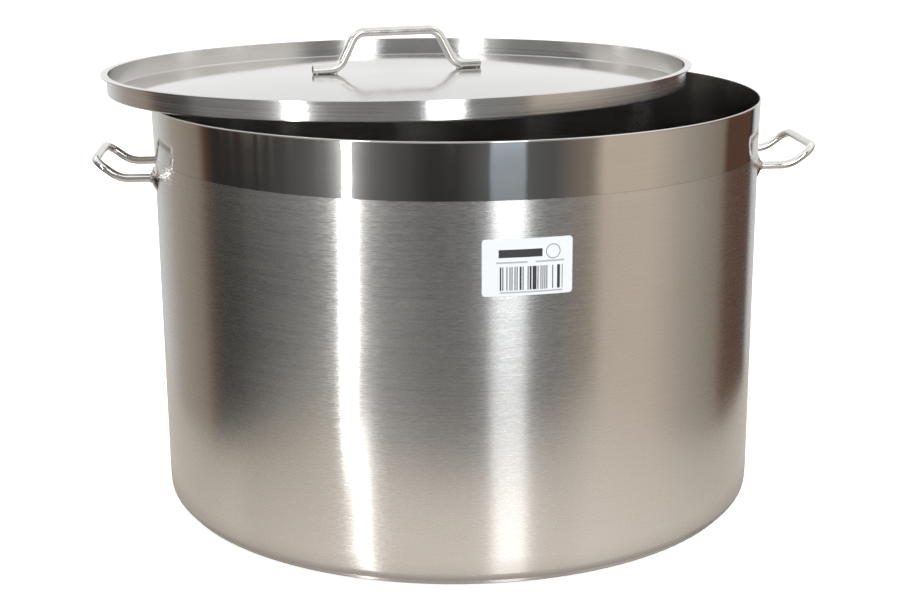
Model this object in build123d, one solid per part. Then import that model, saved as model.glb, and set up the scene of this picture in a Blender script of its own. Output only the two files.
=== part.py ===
"""Brew kettle: a wide stainless pot on a sandwich base, with two side handles and a loose lid.

Millimetres, +Z up. The origin is the centre of the base's underside, where the kettle stands.
The front of the kettle faces -Y. The lid is made in its own frame and then set askew on the rim.
"""

from build123d import *

import os
from math import asin, cos, degrees, radians, sin, tan

# Kettle wall
WALL_R = 300.0  # outer radius of the straight wall
RIM_Z = 400.5  # top of the rim
WALL_T = 1.2
BAND_Z = 350.0  # the polished band runs from here up to the rim
BAND_FLARE = 1.0  # how far the band opens out from the wall
RIM_BEAD_R = 0.85
CORNER_R = 10.0  # outer radius between the wall and the bottom
EASE_Z = 28.0  # from here down the wall eases inwards, before the tighter corner
EASE_ANGLE = 4.0  # degrees off upright where it meets the corner

# Sandwich base: an aluminium disc sealed under the bottom by a stainless cup
BASE_T = 3.5
FOOT_R = 291.5
CLADDING_T = 0.8
CLADDING_EDGE_R = 1.0

# Side handles, in the handle's own frame: x out from the kettle's axis, y along the wall
HANDLE_TURN = 4.6  # degrees, the right handle's direction from +X, the left one is opposite
ROD_D = 8.0
LEG_SPACING = 100.0
LEG_Z = 329.6
LEG_BEND_X = 330.7
GRIP_X = 354.0
GRIP_Z = 347.2
LEG_BEND_R = 28.0
GRIP_BEND_R = 14.0
LEG_START_X = 270.0  # inside the wall, where the rod is later cut off
BOSS_D = 26.0
BOSS_H = 5.0
WELD_R = 1.0
WELD_SINK = 0.5  # how far the middle of the weld ring lies below the boss's surface

# Label on the front of the wall
LABEL_W = 79.0
LABEL_H = 49.6
LABEL_T = 0.2
LABEL_CORNER_R = 3.0
LABEL_AZIMUTH = -78.4
LABEL_Z = 292.4

# Lid, in its own frame: z = 0 is the lowest part of the underside, just within the skirt
LID_WALL_R = 295.4
LID_FLANGE_R = 301.5
LID_H = 20.1
LID_T = 1.2
LID_CORNER_R = 2.0
LID_TOP_R = 100.0  # the middle of the lid is flat out to here
LID_CONE_R = 160.0  # and a straight cone from here out to the skirt, with a smooth bend between
LID_CONE_SLOPE = 4.3  # degrees

# Lid handle: an open tube bent like a bridge, its two feet lying on the flat top
LID_TUBE_D = 9.5
LID_TUBE_BORE = 6.5
LID_FOOT_END = 89.4
LID_FOOT_BEND = 61.6
LID_BAR_BEND = 43.0
LID_BAR_RISE = 36.0
LID_TUBE_BEND_R = 15.0
LID_HANDLE_TURN = 17.0  # degrees about the lid's axis
LID_FOOT_GAP = 0.05
LID_WELD_R = 2.2
LID_WELD_INSET = 4.0

# Where the lid rests: pushed back and to the left, leaning a little the same way
LID_SHIFT = (-59.9, 60.5)
LID_LEAN = 0.84  # degrees
LID_LEAN_AZIMUTH = 117.0
LID_REST_Z = 401.8  # it clears the rim by about 0.3 at the closest point


def pot_outline(inset):
    """The region within the pot's outer surface, or within its inner surface when inset is the sheet."""
    ease_r = CORNER_R + (EASE_Z - BASE_T - CORNER_R) / sin(radians(EASE_ANGLE))
    corner_x = WALL_R - (ease_r - (ease_r - CORNER_R) * cos(radians(EASE_ANGLE)))
    rim_x = WALL_R + BAND_FLARE - inset
    with BuildSketch(Plane.XZ) as sketch:
        with BuildLine():
            Line((0, BASE_T + inset), (corner_x, BASE_T + inset))
            corner = CenterArc((corner_x, BASE_T + CORNER_R), CORNER_R - inset, -90, 90 - EASE_ANGLE)
            ease = CenterArc((WALL_R - ease_r, EASE_Z), ease_r - inset, -EASE_ANGLE, EASE_ANGLE)
            Polyline(ease @ 1, (WALL_R - inset, BAND_Z), (rim_x, RIM_Z - RIM_BEAD_R))
            Polyline((rim_x, RIM_Z - RIM_BEAD_R), (0, RIM_Z - RIM_BEAD_R), (0, BASE_T + inset))
        make_face()
    return sketch.sketch


def kettle_shell():
    """The drawn pot: bottom, corner, wall, flared band and rolled rim, one sheet throughout."""
    bead = Pos(WALL_R + BAND_FLARE - WALL_T / 2, 0, RIM_Z - RIM_BEAD_R) * Rot(90, 0, 0) * Circle(RIM_BEAD_R)
    return revolve(pot_outline(0) - pot_outline(WALL_T) + bead, axis=Axis.Z)


def base_core():
    """The aluminium disc that spreads the heat, between the pot's bottom and the cladding."""
    core = Cylinder(FOOT_R - CLADDING_T, BASE_T - CLADDING_T, align=(Align.CENTER, Align.CENTER, Align.MIN))
    return Pos(0, 0, CLADDING_T) * core


def base_cladding():
    """The shallow stainless cup that closes the aluminium disc in from below."""
    disc = Cylinder(FOOT_R, BASE_T, align=(Align.CENTER, Align.CENTER, Align.MIN))
    return fillet(disc.faces().sort_by(Axis.Z)[0].edges(), CLADDING_EDGE_R) - base_core()


def wall_solid():
    """A full cylinder of the wall's outer radius, for trimming what is welded or stuck to the wall."""
    return Cylinder(WALL_R, RIM_Z, align=(Align.CENTER, Align.CENTER, Align.MIN))


def handle_place(side):
    """The side handle's own frame in the kettle's frame."""
    turn = HANDLE_TURN if side == "right" else HANDLE_TURN + 180
    return Rot(0, 0, turn)


def leg_y(side, end):
    """Position of a leg along the wall in the handle's frame. Front is the end towards -Y."""
    toward_front = -1 if side == "right" else 1
    return toward_front * LEG_SPACING / 2 if end == "front" else -toward_front * LEG_SPACING / 2


def handle_rod():
    """The bent rod, cut off where its legs meet the wall."""
    half = LEG_SPACING / 2
    path = FilletPolyline(
        (LEG_START_X, -half, LEG_Z),
        (LEG_BEND_X, -half, LEG_Z),
        (GRIP_X, -half, GRIP_Z),
        (GRIP_X, half, GRIP_Z),
        (LEG_BEND_X, half, LEG_Z),
        (LEG_START_X, half, LEG_Z),
        radius=[LEG_BEND_R, GRIP_BEND_R, GRIP_BEND_R, LEG_BEND_R],
    )
    section = Plane(origin=path @ 0, z_dir=path % 0) * Circle(ROD_D / 2)
    return sweep(section, path=path) - wall_solid()


def boss_sphere_r():
    """Radius of the ball whose cap is the boss."""
    return ((BOSS_D / 2) ** 2 + BOSS_H**2) / (2 * BOSS_H)


def boss_cap(y):
    """The domed collar at a leg's root, before the leg is cut out of it, in the handle's frame."""
    centre = WALL_R + BOSS_H - boss_sphere_r()
    ball = Pos(centre, 0, LEG_Z) * Sphere(boss_sphere_r())
    return Rot(0, 0, degrees(asin(y / WALL_R))) * ball - wall_solid()


def handle_boss(y, rod):
    return boss_cap(y) - rod


def handle_weld(y, rod):
    """The ring of weld metal where a leg comes out of its boss."""
    centre = WALL_R + BOSS_H - boss_sphere_r()
    turn = asin(y / WALL_R)
    offset = abs(y) - centre * sin(abs(turn))
    surface_x = centre * cos(turn) + (boss_sphere_r() ** 2 - offset**2) ** 0.5
    ring = Pos(surface_x - WELD_SINK, y, LEG_Z) * Rot(0, 90, 0) * Torus(ROD_D / 2, WELD_R)
    return ring - rod - boss_cap(y)


def wall_label():
    """A rounded paper label wrapped on the front of the wall."""
    block = extrude(RectangleRounded(LABEL_W, LABEL_H, LABEL_CORNER_R), WALL_R)
    facing_out = Rot(0, 0, LABEL_AZIMUTH) * Pos(WALL_R / 2, 0, LABEL_Z) * Rot(0, 90, 0) * Rot(0, 0, 90)
    paper_tube = Cylinder(WALL_R + LABEL_T, RIM_Z, align=(Align.CENTER, Align.CENTER, Align.MIN))
    return facing_out * block & (paper_tube - wall_solid())


def cone_rise():
    """How far the cone rises from the skirt to its inner edge."""
    return (LID_WALL_R - LID_CORNER_R - LID_CONE_R) * tan(radians(LID_CONE_SLOPE))


def top_height():
    """Height of the flat top's upper surface."""
    return LID_T + cone_rise() + (LID_CONE_R - LID_TOP_R) * tan(radians(LID_CONE_SLOPE / 2))


def lid_pan():
    """The lid: a shallow pan with a flat lip, whose bottom rises as a low cone to a flat middle."""
    bend_r = (LID_CONE_R - LID_TOP_R) / sin(radians(LID_CONE_SLOPE))
    rise = cone_rise()
    top = top_height()
    under = top - LID_T
    corner_x = LID_WALL_R - LID_CORNER_R
    inner_wall = LID_WALL_R - LID_T
    lip_under = LID_H - LID_T
    with BuildSketch(Plane.XZ) as section:
        with BuildLine():
            Line((0, under), (LID_TOP_R, under))
            RadiusArc((LID_TOP_R, under), (LID_CONE_R, rise), bend_r)
            Line((LID_CONE_R, rise), (corner_x, 0))
            RadiusArc((corner_x, 0), (LID_WALL_R, LID_CORNER_R), -LID_CORNER_R)
            Polyline((LID_WALL_R, LID_CORNER_R), (LID_WALL_R, lip_under), (LID_FLANGE_R, lip_under))
            Polyline((LID_FLANGE_R, lip_under), (LID_FLANGE_R, LID_H), (inner_wall, LID_H))
            Line((inner_wall, LID_H), (inner_wall, LID_CORNER_R))
            RadiusArc((inner_wall, LID_CORNER_R), (corner_x, LID_T), LID_CORNER_R - LID_T)
            Line((corner_x, LID_T), (LID_CONE_R, LID_T + rise))
            RadiusArc((LID_CONE_R, LID_T + rise), (LID_TOP_R, top), -bend_r)
            Polyline((LID_TOP_R, top), (0, top), (0, under))
        make_face()
    return revolve(section.sketch, axis=Axis.Z)


def lid_handle_bar():
    """The lid handle's outer shape as a solid bar, with the sweep's start plane and path."""
    foot_z = top_height() + LID_TUBE_D / 2 + LID_FOOT_GAP
    bar_z = foot_z + LID_BAR_RISE
    path = FilletPolyline(
        (-LID_FOOT_END, 0, foot_z),
        (-LID_FOOT_BEND, 0, foot_z),
        (-LID_BAR_BEND, 0, bar_z),
        (LID_BAR_BEND, 0, bar_z),
        (LID_FOOT_BEND, 0, foot_z),
        (LID_FOOT_END, 0, foot_z),
        radius=LID_TUBE_BEND_R,
    )
    start = Plane(origin=path @ 0, z_dir=path % 0)
    return sweep(start * Circle(LID_TUBE_D / 2), path=path), start, path


def lid_handle():
    """The bent tube, open at both ends."""
    bar, start, path = lid_handle_bar()
    return bar - sweep(start * Circle(LID_TUBE_BORE / 2), path=path)


def lid_weld(sign, pan):
    """Two spot welds under one foot of the lid handle, each a bead along both sides of the tube."""
    bar, _, _ = lid_handle_bar()
    beads = []
    for along in (LID_FOOT_END - LID_WELD_INSET, LID_FOOT_BEND + LID_WELD_INSET):
        ball = Pos(sign * along, 0, top_height()) * Sphere(LID_WELD_R)
        beads += (ball - bar - pan).solids().sort_by(SortBy.VOLUME)[-2:]
    return Compound(children=beads)


def lid_place():
    """The resting lid's frame in the kettle's frame."""
    lean = Rot(0, 0, LID_LEAN_AZIMUTH) * Rot(0, LID_LEAN, 0) * Rot(0, 0, -LID_LEAN_AZIMUTH)
    return Pos(*LID_SHIFT, LID_REST_Z) * lean


def main():
    nodes = {
        "kettle_shell": kettle_shell(),
        "base_core": base_core(),
        "base_cladding": base_cladding(),
        "wall_label": wall_label(),
    }
    rod = handle_rod()
    for side in ("left", "right"):
        place = handle_place(side)
        nodes[f"{side}_handle_loop"] = place * rod
        for end in ("front", "back"):
            y = leg_y(side, end)
            nodes[f"{side}_{end}_boss"] = place * handle_boss(y, rod)
            nodes[f"{side}_{end}_weld"] = place * handle_weld(y, rod)
    pan = lid_pan()
    handle_place_on_lid = lid_place() * Rot(0, 0, LID_HANDLE_TURN)
    nodes["lid_pan"] = lid_place() * pan
    nodes["lid_handle"] = handle_place_on_lid * lid_handle()
    for side, sign in (("left", -1), ("right", 1)):
        nodes[f"lid_{side}_welds"] = handle_place_on_lid * lid_weld(sign, pan)
    os.makedirs("parts", exist_ok=True)
    for name, shape in nodes.items():
        export_step(shape, f"parts/{name}.step")


main()
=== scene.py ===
import math

import bpy
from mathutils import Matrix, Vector


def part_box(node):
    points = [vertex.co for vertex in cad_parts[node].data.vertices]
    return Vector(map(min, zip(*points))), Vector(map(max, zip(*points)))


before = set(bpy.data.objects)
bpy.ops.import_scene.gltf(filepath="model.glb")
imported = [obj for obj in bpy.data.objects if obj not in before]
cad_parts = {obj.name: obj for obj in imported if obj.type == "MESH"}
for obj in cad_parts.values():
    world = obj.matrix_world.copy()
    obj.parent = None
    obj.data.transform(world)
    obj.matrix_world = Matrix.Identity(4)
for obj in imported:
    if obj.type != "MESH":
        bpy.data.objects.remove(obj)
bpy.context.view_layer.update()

# The kettle's own measures, taken from the frame
SHELL_LOW, SHELL_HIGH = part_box("kettle_shell")
LABEL_LOW, LABEL_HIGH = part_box("wall_label")
LID_LOW, LID_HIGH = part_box("lid_pan")
LID_CENTRE = (LID_LOW + LID_HIGH) / 2
RIM_Z = SHELL_HIGH.z
BAND_HEIGHT = 0.0505  # the polished band below the rim
WALL_R = 0.3
LID_PAN_R = 0.2915  # the lid's bottom ends here, and its wall and lip follow

# Camera: square on to the front, looking down on the kettle
CAMERA_AT = Vector((0.0, -1.649, 0.624))
CAMERA_DOWN = math.radians(14.89)
CAMERA_YAW = math.radians(-0.246)
CAMERA_ROLL = math.radians(-0.395)
LENS = 65.96
SENSOR = 36.0

STEEL = (0.62, 0.61, 0.59)
LID_SHEET = (0.64, 0.635, 0.625)
SEAM_GREY = (0.2, 0.2, 0.2, 1.0)
INK = (0.02, 0.02, 0.024, 1.0)
WHITE = (1.0, 1.0, 1.0, 1.0)
BLACK = (0.0, 0.0, 0.0, 1.0)

# Brushed and turned lines, in noise cells per metre
STROKES_ACROSS = 1100.0
STROKES_ALONG = 14.0
FINE_STROKES_ALONG = 110.0
TURNED_LINES = 900.0
BRUSHING = 0.85  # how far the strokes stretch a highlight
SEAM_SOFT = 0.0004  # the polished band's lower edge fades over this

# Label print, in metres from the label's middle
LABEL_FACES = (0.2, -0.98)  # the way the label's middle faces
PRINT_EDGE = 0.00012
BAR_CELLS = 1150.0  # bars and gaps per metre
BAR_SHARE = 0.52  # this share of them stays white
SEAL_AT = (0.0225, 0.0125)

# The table lies just under the kettle, and the floor just under the table
TABLE_CORNERS = ((-0.52, -0.61), (0.52, 1.0))
TABLE_Z = -0.0005
FLOOR_REACH = 20.0
FLOOR_Z = -0.001


class Tree:
    """A node tree with short calls for the nodes that the finishes and the sky share."""

    def __init__(self, owner):
        owner.use_nodes = True
        self.tree = owner.node_tree
        self.nodes = owner.node_tree.nodes

    def node(self, kind, inputs=None, **settings):
        made = self.nodes.new(kind)
        for name, value in settings.items():
            setattr(made, name, value)
        for name, value in (inputs or {}).items():
            self.feed(made.inputs[name], value)
        return made

    def feed(self, socket, value):
        if isinstance(value, bpy.types.NodeSocket):
            self.tree.links.new(value, socket)
        else:
            socket.default_value = value

    def math(self, operation, *values, clamp=False):
        inputs = dict(enumerate(values))
        return self.node("ShaderNodeMath", inputs, operation=operation, use_clamp=clamp).outputs[0]

    def step(self, value, low, high, out_low=0.0, out_high=1.0):
        """A smooth step of value from low to high."""
        inputs = {"Value": value, "From Min": low, "From Max": high, "To Min": out_low, "To Max": out_high}
        return self.node("ShaderNodeMapRange", inputs, interpolation_type="SMOOTHSTEP").outputs[0]

    def between(self, value, low, high, soft):
        """One between low and high, falling to zero over soft at either side."""
        rise = self.step(value, low - soft, low + soft)
        fall = self.step(value, high - soft, high + soft, 1.0, 0.0)
        return self.math("MULTIPLY", rise, fall)

    def length(self, x, y):
        return self.math("SQRT", self.math("ADD", self.math("MULTIPLY", x, x), self.math("MULTIPLY", y, y)))

    def blend(self, factor, a, b):
        return self.node("ShaderNodeMix", {"Factor": factor, "A": a, "B": b}).outputs[0]

    def blend_colour(self, factor, a, b):
        made = self.node("ShaderNodeMix", data_type="RGBA")
        self.feed(made.inputs[0], factor)
        self.feed(made.inputs[6], a)
        self.feed(made.inputs[7], b)
        return made.outputs[2]

    def ramp(self, factor, stops):
        """Runs from colour to colour as factor goes from 0 to 1."""
        made = self.node("ShaderNodeValToRGB", {"Fac": factor})
        elements = made.color_ramp.elements
        while len(elements) < len(stops):
            elements.new(1.0)
        for element, (place, colour) in zip(elements, stops):
            element.position = place
            element.color = (*colour, 1.0)
        return made.outputs[0]

    def noise(self, vector, scale=1.0, detail=2.0, roughness=0.5):
        inputs = {"Vector": vector, "Scale": scale, "Detail": detail, "Roughness": roughness}
        return self.node("ShaderNodeTexNoise", inputs).outputs["Fac"]

    def vector(self, x, y, z):
        return self.node("ShaderNodeCombineXYZ", {"X": x, "Y": y, "Z": z}).outputs[0]

    def split(self, vector):
        return self.node("ShaderNodeSeparateXYZ", {"Vector": vector}).outputs


class Finish(Tree):
    """A material around one Principled shader."""

    def __init__(self, name):
        self.material = bpy.data.materials.new(name)
        super().__init__(self.material)
        self.shader = self.nodes["Principled BSDF"]
        self.place = self.node("ShaderNodeTexCoord").outputs["Object"]

    def set(self, **sockets):
        names = {"colour": "Base Color", "roughness": "Roughness", "metal": "Metallic", "normal": "Normal",
                 "anisotropic": "Anisotropic", "rotation": "Anisotropic Rotation", "tangent": "Tangent",
                 "glow": "Emission Color", "glow_strength": "Emission Strength"}
        for name, value in sockets.items():
            self.feed(self.shader.inputs[names[name]], value)

    def bump(self, height, strength, distance):
        inputs = {"Height": height, "Strength": strength, "Distance": distance}
        return self.node("ShaderNodeBump", inputs).outputs[0]

    def haze(self, amount, roughness):
        """Mixes a wider, softer reflection in by amount."""
        wide = self.node("ShaderNodeBsdfAnisotropic", {"Color": (*STEEL, 1.0), "Roughness": roughness})
        self.feed(wide.inputs["Normal"], self.shader.inputs["Normal"].links[0].from_socket)
        mixed = self.node("ShaderNodeMixShader", {0: amount, 1: self.shader.outputs[0], 2: wide.outputs[0]})
        self.feed(self.nodes["Material Output"].inputs["Surface"], mixed.outputs[0])

    def tint(self, amount, colour, low=0.9, high=1.06):
        """colour made a little darker and lighter by amount, from 0 to 1."""
        shade = self.step(amount, 0.25, 0.75, low, high)
        scaled = self.node("ShaderNodeVectorMath", {0: (*colour,)}, operation="SCALE")
        self.feed(scaled.inputs["Scale"], shade)
        return scaled.outputs[0]


def pot_steel():
    """The pot's sheet: brushed round the wall, polished in the band, duller inside."""
    f = Finish("pot_steel")
    x, y, z = f.split(f.place)
    facing = f.split(f.node("ShaderNodeTexCoord").outputs["Normal"])
    outward = f.math("ADD", f.math("MULTIPLY", facing[0], x), f.math("MULTIPLY", facing[1], y))
    outside = f.step(outward, 0.005, 0.02)
    band_low = RIM_Z - BAND_HEIGHT
    polished = f.math("MULTIPLY", outside, f.step(z, band_low - SEAM_SOFT, band_low + SEAM_SOFT))
    up = f.math("MULTIPLY", z, STROKES_ACROSS)

    def strokes(along):
        """A place for noise, drawn out round the wall."""
        return f.vector(f.math("MULTIPLY", x, along), f.math("MULTIPLY", y, along), up)

    grain = f.noise(strokes(STROKES_ALONG), detail=3.0, roughness=0.6)
    fine = f.noise(strokes(FINE_STROKES_ALONG))
    cloud = f.noise(f.place, scale=7.0, detail=3.0)
    satin = f.math("ADD", f.step(grain, 0.3, 0.7, 0.17, 0.21), f.step(cloud, 0.3, 0.7, -0.01, 0.02))
    inner = f.step(grain, 0.3, 0.7, 0.15, 0.2)
    sheen = f.blend(outside, inner, satin)
    mirror = f.step(cloud, 0.3, 0.7, 0.05, 0.09)
    seam = f.math("MULTIPLY", outside, f.between(z, band_low - SEAM_SOFT, band_low + SEAM_SOFT, 0.0003))
    relief = f.math("MULTIPLY", grain, f.math("SUBTRACT", 1.0, polished))
    shade = f.math("ADD", f.math("MULTIPLY", grain, 0.5), f.math("MULTIPLY", cloud, 0.5))
    sheet = f.tint(shade, STEEL, 0.95, 1.04)
    tangent = f.node("ShaderNodeTangent", direction_type="RADIAL", axis="Z").outputs[0]
    f.set(colour=f.blend_colour(f.math("MULTIPLY", seam, 0.35), sheet, SEAM_GREY),
          metal=1.0, roughness=f.blend(polished, sheen, mirror),
          anisotropic=BRUSHING, rotation=0.25, tangent=tangent,
          normal=f.bump(relief, 0.5, 0.00004))
    sparkle = f.step(fine, 0.32, 0.68, 0.14, 0.42)
    f.haze(f.math("MULTIPLY", outside, f.blend(polished, sparkle, 0.05)), 0.3)
    return f.material


def lid_steel():
    """The lid's sheet, spun about its own middle: a bright bottom, and turned lines on the wall and skirt."""
    f = Finish("lid_steel")
    x, y, z = f.split(f.place)
    x = f.math("SUBTRACT", x, LID_CENTRE.x)
    y = f.math("SUBTRACT", y, LID_CENTRE.y)
    radius = f.length(x, y)
    turned = f.step(radius, LID_PAN_R - 0.001, LID_PAN_R + 0.001)
    across = f.math("MULTIPLY", f.math("ADD", radius, z), TURNED_LINES)
    round_x = f.math("DIVIDE", x, f.math("MAXIMUM", radius, 0.005))
    round_y = f.math("DIVIDE", y, f.math("MAXIMUM", radius, 0.005))
    grain = f.noise(f.vector(round_x, round_y, across), detail=3.0, roughness=0.6)
    cloud = f.noise(f.place, scale=6.0, detail=3.0)
    tangent = f.vector(f.math("MULTIPLY", round_y, -1.0), round_x, 0.0)
    shade = f.math("ADD", f.math("MULTIPLY", grain, 0.6), f.math("MULTIPLY", cloud, 0.4))
    sheen = f.blend(turned, 0.09, f.step(grain, 0.3, 0.7, 0.15, 0.21))
    f.set(colour=f.tint(shade, LID_SHEET, 0.95, 1.04), metal=1.0,
          roughness=f.math("ADD", sheen, f.step(cloud, 0.3, 0.7, 0.0, 0.03)),
          anisotropic=BRUSHING, rotation=0.25, tangent=tangent,
          normal=f.bump(f.math("MULTIPLY", grain, turned), 0.5, 0.00012))
    return f.material


def polished_steel():
    """The bright rod and bosses, with a trace of polishing haze."""
    f = Finish("polished_steel")
    haze = f.noise(f.place, scale=60.0, detail=4.0)
    wave = f.noise(f.place, scale=25.0, detail=1.0)
    f.set(colour=f.tint(haze, (0.7, 0.69, 0.67), 0.95, 1.03), metal=1.0,
          roughness=f.step(haze, 0.3, 0.8, 0.06, 0.16), normal=f.bump(wave, 0.15, 0.0004))
    return f.material


def tube_steel():
    """The lid handle's tube, a soft satin."""
    f = Finish("tube_steel")
    haze = f.noise(f.place, scale=90.0, detail=4.0)
    f.set(colour=f.tint(haze, (0.68, 0.67, 0.65), 0.95, 1.03), metal=1.0,
          roughness=f.step(haze, 0.3, 0.8, 0.2, 0.27), normal=f.bump(haze, 0.1, 0.00004))
    return f.material


def weld_metal():
    """Dressed weld with a little heat colour."""
    f = Finish("weld_metal")
    lumps = f.noise(f.place, scale=450.0, detail=3.0)
    heat = f.noise(f.place, scale=120.0, detail=2.0)
    colour = f.blend_colour(f.step(heat, 0.4, 0.65), (0.5, 0.47, 0.43, 1.0), (0.36, 0.27, 0.18, 1.0))
    f.set(colour=colour, metal=1.0, roughness=f.step(lumps, 0.3, 0.7, 0.25, 0.42),
          normal=f.bump(lumps, 0.5, 0.0008))
    return f.material


def core_aluminium():
    """The dull grey disc in the base."""
    f = Finish("core_aluminium")
    grain = f.noise(f.place, scale=300.0, detail=3.0)
    f.set(colour=f.tint(grain, (0.78, 0.78, 0.79)), metal=1.0, roughness=f.step(grain, 0.3, 0.7, 0.35, 0.5))
    return f.material


def label_print():
    """White label stock with a plain dark bar, grey rules and a bar pattern that spells nothing."""
    f = Finish("label_print")
    x, y, z = f.split(f.place)
    middle = (LABEL_LOW + LABEL_HIGH) / 2
    faces_x, faces_y = LABEL_FACES
    turn = f.math("SUBTRACT", f.math("ARCTAN2", y, x), math.atan2(faces_y, faces_x))
    across = f.math("MULTIPLY", turn, WALL_R)
    up = f.math("SUBTRACT", z, middle.z)

    def block(left, right, low, high):
        wide = f.between(across, left, right, PRINT_EDGE)
        return f.math("MULTIPLY", wide, f.between(up, low, high, PRINT_EDGE))

    heading = block(-0.025, 0.013, 0.0085, 0.0155)
    rules = f.math("ADD", block(-0.027, 0.0, 0.0035, 0.005), block(0.007, 0.0325, 0.0035, 0.005))
    cell = f.math("FLOOR", f.math("MULTIPLY", across, BAR_CELLS))
    stripe = f.node("ShaderNodeTexWhiteNoise", {"W": cell}, noise_dimensions="1D").outputs[0]
    dark = f.math("GREATER_THAN", stripe, BAR_SHARE)
    bars = f.math("MULTIPLY", block(-0.024, 0.031, -0.02, 0.0005), dark)
    last_rule = block(-0.024, 0.031, -0.0225, -0.0212)
    seal_x, seal_y = SEAL_AT
    from_seal = f.length(f.math("SUBTRACT", across, seal_x), f.math("SUBTRACT", up, seal_y))
    seal = f.between(from_seal, 0.0058, 0.0064, PRINT_EDGE)
    faint = f.math("MULTIPLY", f.math("ADD", rules, last_rule), 0.5)
    ink = f.math("ADD", f.math("ADD", heading, seal), f.math("ADD", bars, faint), clamp=True)
    fibre = f.noise(f.place, scale=900.0, detail=3.0)
    paper = f.tint(fibre, (0.63, 0.655, 0.69), 0.98, 1.02)
    f.set(colour=f.blend_colour(ink, paper, INK), roughness=f.step(fibre, 0.3, 0.7, 0.4, 0.5),
          normal=f.bump(fibre, 0.1, 0.00005))
    return f.material


def dress(node, material):
    """Gives a CAD node one material throughout."""
    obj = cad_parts[node]
    for slot in obj.material_slots:
        slot.material = material


def dress_all():
    pot = pot_steel()
    polished = polished_steel()
    weld = weld_metal()
    lid = lid_steel()
    finishes = {
        "kettle_shell": pot,
        "base_cladding": pot,
        "base_core": core_aluminium(),
        "wall_label": label_print(),
        "lid_pan": lid,
        "lid_handle": tube_steel(),
        "lid_left_welds": weld,
        "lid_right_welds": weld,
    }
    for side in ("left", "right"):
        finishes[f"{side}_handle_loop"] = polished
        for end in ("front", "back"):
            finishes[f"{side}_{end}_boss"] = polished
            finishes[f"{side}_{end}_weld"] = weld
    for node, material in finishes.items():
        dress(node, material)


def stage_plane(name, corners, height):
    """A flat sheet between two opposite corners, with its finish to be filled in."""
    (left, front), (right, back) = corners
    mesh = bpy.data.meshes.new(name)
    points = [(left, front, height), (right, front, height), (right, back, height), (left, back, height)]
    mesh.from_pydata(points, [], [(0, 1, 2, 3)])
    plane = bpy.data.objects.new(name, mesh)
    bpy.context.scene.collection.objects.link(plane)
    finish = Finish(name)
    mesh.materials.append(finish.material)
    return plane, finish


def floor():
    """The plain pale floor the kettle stands on, which only the camera and the soft light see."""
    corners = ((-FLOOR_REACH, -FLOOR_REACH), (FLOOR_REACH, FLOOR_REACH))
    plane, f = stage_plane("floor", corners, FLOOR_Z)
    speck = f.noise(f.place, scale=40.0, detail=3.0)
    f.set(colour=f.tint(speck, (0.93, 0.925, 0.915), 0.99, 1.01), roughness=0.9,
          glow=WHITE, glow_strength=0.65)
    plane.visible_glossy = False


def table_top():
    """The warm table the steel reflects, seen in the reflections only: it glows with painted light, lighter
    in the middle, with a painted shadow round the kettle and painted shade towards the back.
    """
    plane, f = stage_plane("table_top", TABLE_CORNERS, TABLE_Z)
    x, y, _ = f.split(f.place)
    # Painted light: the table's glow is brighter in the middle and dimmer towards its sides.
    middle, edge = (0.85, 0.77, 0.7), (0.65, 0.58, 0.5)
    stops = [(0.0, edge), (0.3, middle), (0.7, middle), (1.0, edge)]
    # Painted contact shadow: the glow is dimmed in a ring round the kettle's foot.
    painted_contact_shadow = f.step(f.length(x, y), 0.29, 0.345, 0.55, 1.0)
    # Painted shade: the glow also dims towards the back of the table, and the table glows though it is no
    # lamp.
    shade = f.math("MULTIPLY", f.step(y, -0.32, -0.08, 1.0, 0.76), painted_contact_shadow)
    f.set(colour=BLACK, roughness=0.14, glow=f.ramp(f.step(x, -0.5, 0.5), stops), glow_strength=shade)
    plane.visible_camera = False
    plane.visible_diffuse = False
    plane.visible_shadow = False


def studio_light(name, place, width, height, radiance, colour=(1.0, 1.0, 1.0)):
    """A tall soft panel aimed at the middle of the kettle."""
    light = bpy.data.lights.new(name, "AREA")
    light.shape = "RECTANGLE"
    light.size = width
    light.size_y = height
    light.energy = radiance * math.pi * width * height
    light.color = colour
    lamp = bpy.data.objects.new(name, light)
    bpy.context.scene.collection.objects.link(lamp)
    lamp.location = place
    lamp.rotation_euler = (Vector((0, 0, RIM_Z * 0.75)) - Vector(place)).to_track_quat("-Z", "Y").to_euler()
    lamp.visible_camera = False
    return lamp


# A plain studio below eye level, laid out in a few flat tones. Angles are in degrees round the kettle
# from the camera's side, + towards the right handle.
PALE = (0.75, 0.75, 0.75)
CREAM = (0.7, 0.6, 0.5)
STONE = (0.45, 0.4, 0.35)
TAUPE = (0.3, 0.25, 0.2)
WOOD = (0.12, 0.06, 0.04)
DIM = (0.1, 0.1, 0.1)
DARK = (0.03, 0.03, 0.03)
SIDE_WALLS = (1.0, 0.97, 0.93, 1.0)
BACK_SCREEN = (0.98, 0.98, 0.98, 1.0)
STRIP_COMPASS = -40.0
HALO_WIDTH = 3.3
PANE = (12, 25, 1)  # from, to, and the softness of its edges
PANE_COLOUR = (0.5, 0.6, 0.7, 1.0)
CLUTTER = [(0.38, (0.02, 0.02, 0.02)), (0.45, (0.14, 0.05, 0.025)), (0.5, (0.03, 0.035, 0.04)),
           (0.54, (0.05, 0.05, 0.05)), (0.58, (0.4, 0.34, 0.25))]
ROOM = [
    (-150, PALE), (-130, STONE), (-110, TAUPE), (-105, WOOD), (-100, DARK),  # left wall and its wooden trim
    (-75, DARK), (-55, DIM), (-25, DIM), (-10, DARK), (0, DARK), (10, DIM), (35, DIM),  # the room in front
    (50, TAUPE), (55, CREAM), (75, CREAM), (95, STONE), (115, TAUPE),  # the screen at the right
    (120, WOOD), (140, WOOD), (145, DARK), (150, PALE),  # a wooden post, and the pale screen behind
]


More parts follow.
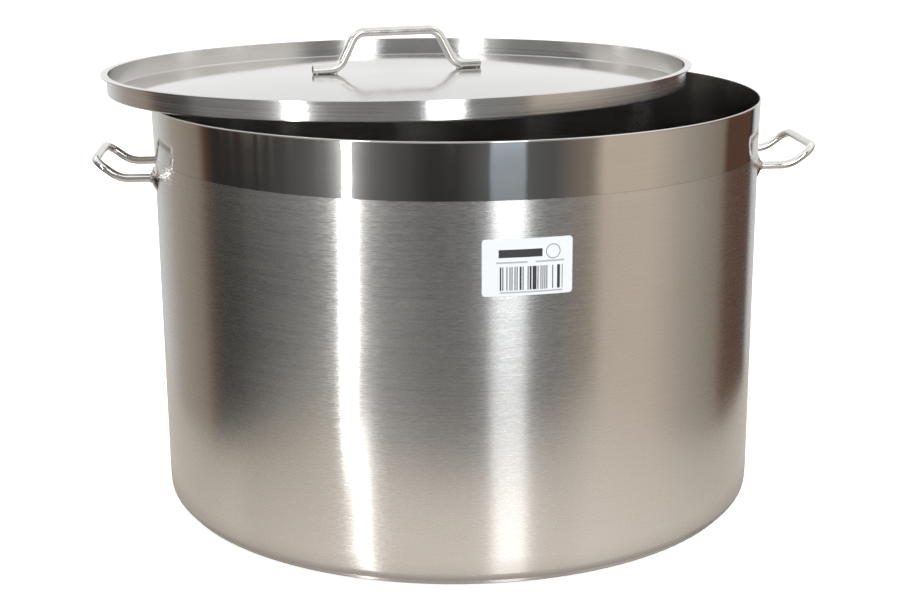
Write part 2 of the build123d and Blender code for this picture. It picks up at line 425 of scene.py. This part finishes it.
def room_below(sky, direction, sector):
    """The room below eye level: flat tones round the compass, a pane of daylight and a shelf of clutter."""
    x, y, z, compass = direction
    share = sky.math("ADD", sky.math("DIVIDE", compass, 2 * math.pi), 0.5)
    room = sky.ramp(share, [((angle + 180) / 360, colour) for angle, colour in ROOM])
    pane = sky.math("MULTIPLY", sector(*PANE), sky.step(z, -0.225, -0.203, 0.3, 1.0))
    room = sky.blend_colour(pane, room, PANE_COLOUR)
    shapes = sky.noise(sky.vector(x, y, sky.math("MULTIPLY", z, 1.6)), scale=11.0, detail=2.0)
    shelf = sky.math("MULTIPLY", sector(-98, 8, 3), sky.between(z, -0.182, -0.155, 0.004))
    return sky.blend_colour(shelf, room, sky.ramp(shapes, CLUTTER))


def glare(sky, direction, sector):
    """Extra light round the strip lamp and low in the pane, spread by the steel's brushing."""
    z, compass = direction[2:]
    off_strip = sky.math("ABSOLUTE", sky.math("SUBTRACT", compass, math.radians(STRIP_COMPASS)))
    halo = sky.math("POWER", math.e, sky.math("MULTIPLY", off_strip, -1.0 / math.radians(HALO_WIDTH)))
    halo = sky.math("MULTIPLY", sky.math("MINIMUM", halo, 0.5), sky.step(z, -0.26, -0.22, 0.3, 1.6))
    halo = sky.math("MULTIPLY", halo, sky.step(z, 0.1, 0.3, 1.0, 0.0))
    low_fill = sky.math("MULTIPLY", sky.step(off_strip, math.radians(12), math.radians(60), 0.28, 0.0),
                        sky.step(z, -0.34, -0.26, 1.0, 0.0))
    low_pane = sky.math("MULTIPLY", sector(*PANE), sky.between(z, -0.4, -0.27, 0.03))
    return sky.math("ADD", sky.math("ADD", halo, low_fill), sky.math("MULTIPLY", low_pane, 1.2))


def surroundings():
    """Soft light from above, the room all round it, and a plain white ground behind the kettle."""
    world = bpy.data.worlds.new("studio")
    bpy.context.scene.world = world
    sky = Tree(world)
    x, y, z = sky.split(sky.node("ShaderNodeTexCoord").outputs["Generated"])
    compass = sky.math("ARCTAN2", x, sky.math("MULTIPLY", y, -1.0))
    direction = (x, y, z, compass)

    def sector(left, right, soft):
        """One between two compass angles, falling to zero over soft at either side, all in degrees."""
        return sky.between(compass, math.radians(left), math.radians(right), math.radians(soft))

    def grey(level):
        return sky.vector(level, level, level)

    room = room_below(sky, direction, sector)
    sides = sky.math("SUBTRACT", 1.0, sector(-88, 40, 8))
    walls = sky.blend_colour(sky.math("MULTIPLY", sides, sky.step(z, -0.03, 0.12)), room, SIDE_WALLS)
    front = sky.math("MULTIPLY", sector(-84, 45, 7), sky.step(z, -0.13, -0.06))
    hazy = sky.blend_colour(front, walls, grey(sky.step(z, 0.08, 0.2, 0.56, 0.2)))
    behind = sky.math("MULTIPLY", sky.step(y, 0.75, 0.9), sky.step(z, 0.03, 0.1))
    lit = sky.blend_colour(behind, hazy, BACK_SCREEN)
    halo = grey(glare(sky, direction, sector))
    lit = sky.node("ShaderNodeVectorMath", {0: lit, 1: halo}, operation="ADD").outputs[0]
    ceiling = grey(sky.step(z, 0.7, 1.0, 1.5, 1.0))
    light = sky.blend_colour(sky.step(z, 0.5, 0.75), lit, ceiling)
    seen = sky.node("ShaderNodeLightPath").outputs["Is Camera Ray"]
    sky.feed(sky.nodes["Background"].inputs["Color"], sky.blend_colour(seen, light, WHITE))


def camera():
    data = bpy.data.cameras.new("camera")
    data.lens = LENS
    data.sensor_width = SENSOR
    eye = bpy.data.objects.new("camera", data)
    bpy.context.scene.collection.objects.link(eye)
    level = math.cos(CAMERA_DOWN)
    aim = Vector((math.sin(CAMERA_YAW) * level, math.cos(CAMERA_YAW) * level, -math.sin(CAMERA_DOWN)))
    eye.matrix_world = aim.to_track_quat("-Z", "Y").to_matrix().to_4x4()
    eye.location = CAMERA_AT
    eye.rotation_euler.rotate_axis("Z", CAMERA_ROLL)
    bpy.context.scene.camera = eye


def light_studio():
    bpy.context.scene.view_settings.view_transform = "Standard"
    surroundings()
    table_top()
    floor()
    strip = studio_light("strip_light", (-2.107, -2.955, 0.6), 0.17, 3.4, 36.0)
    strip.rotation_euler.rotate_axis("Z", math.radians(-8.5))
    strip.visible_diffuse = False
    studio_light("window_light", (1.02, -3.1, 0.95), 0.7, 2.1, 6.6, (0.97, 0.99, 1.0))


dress_all()
light_studio()
camera()
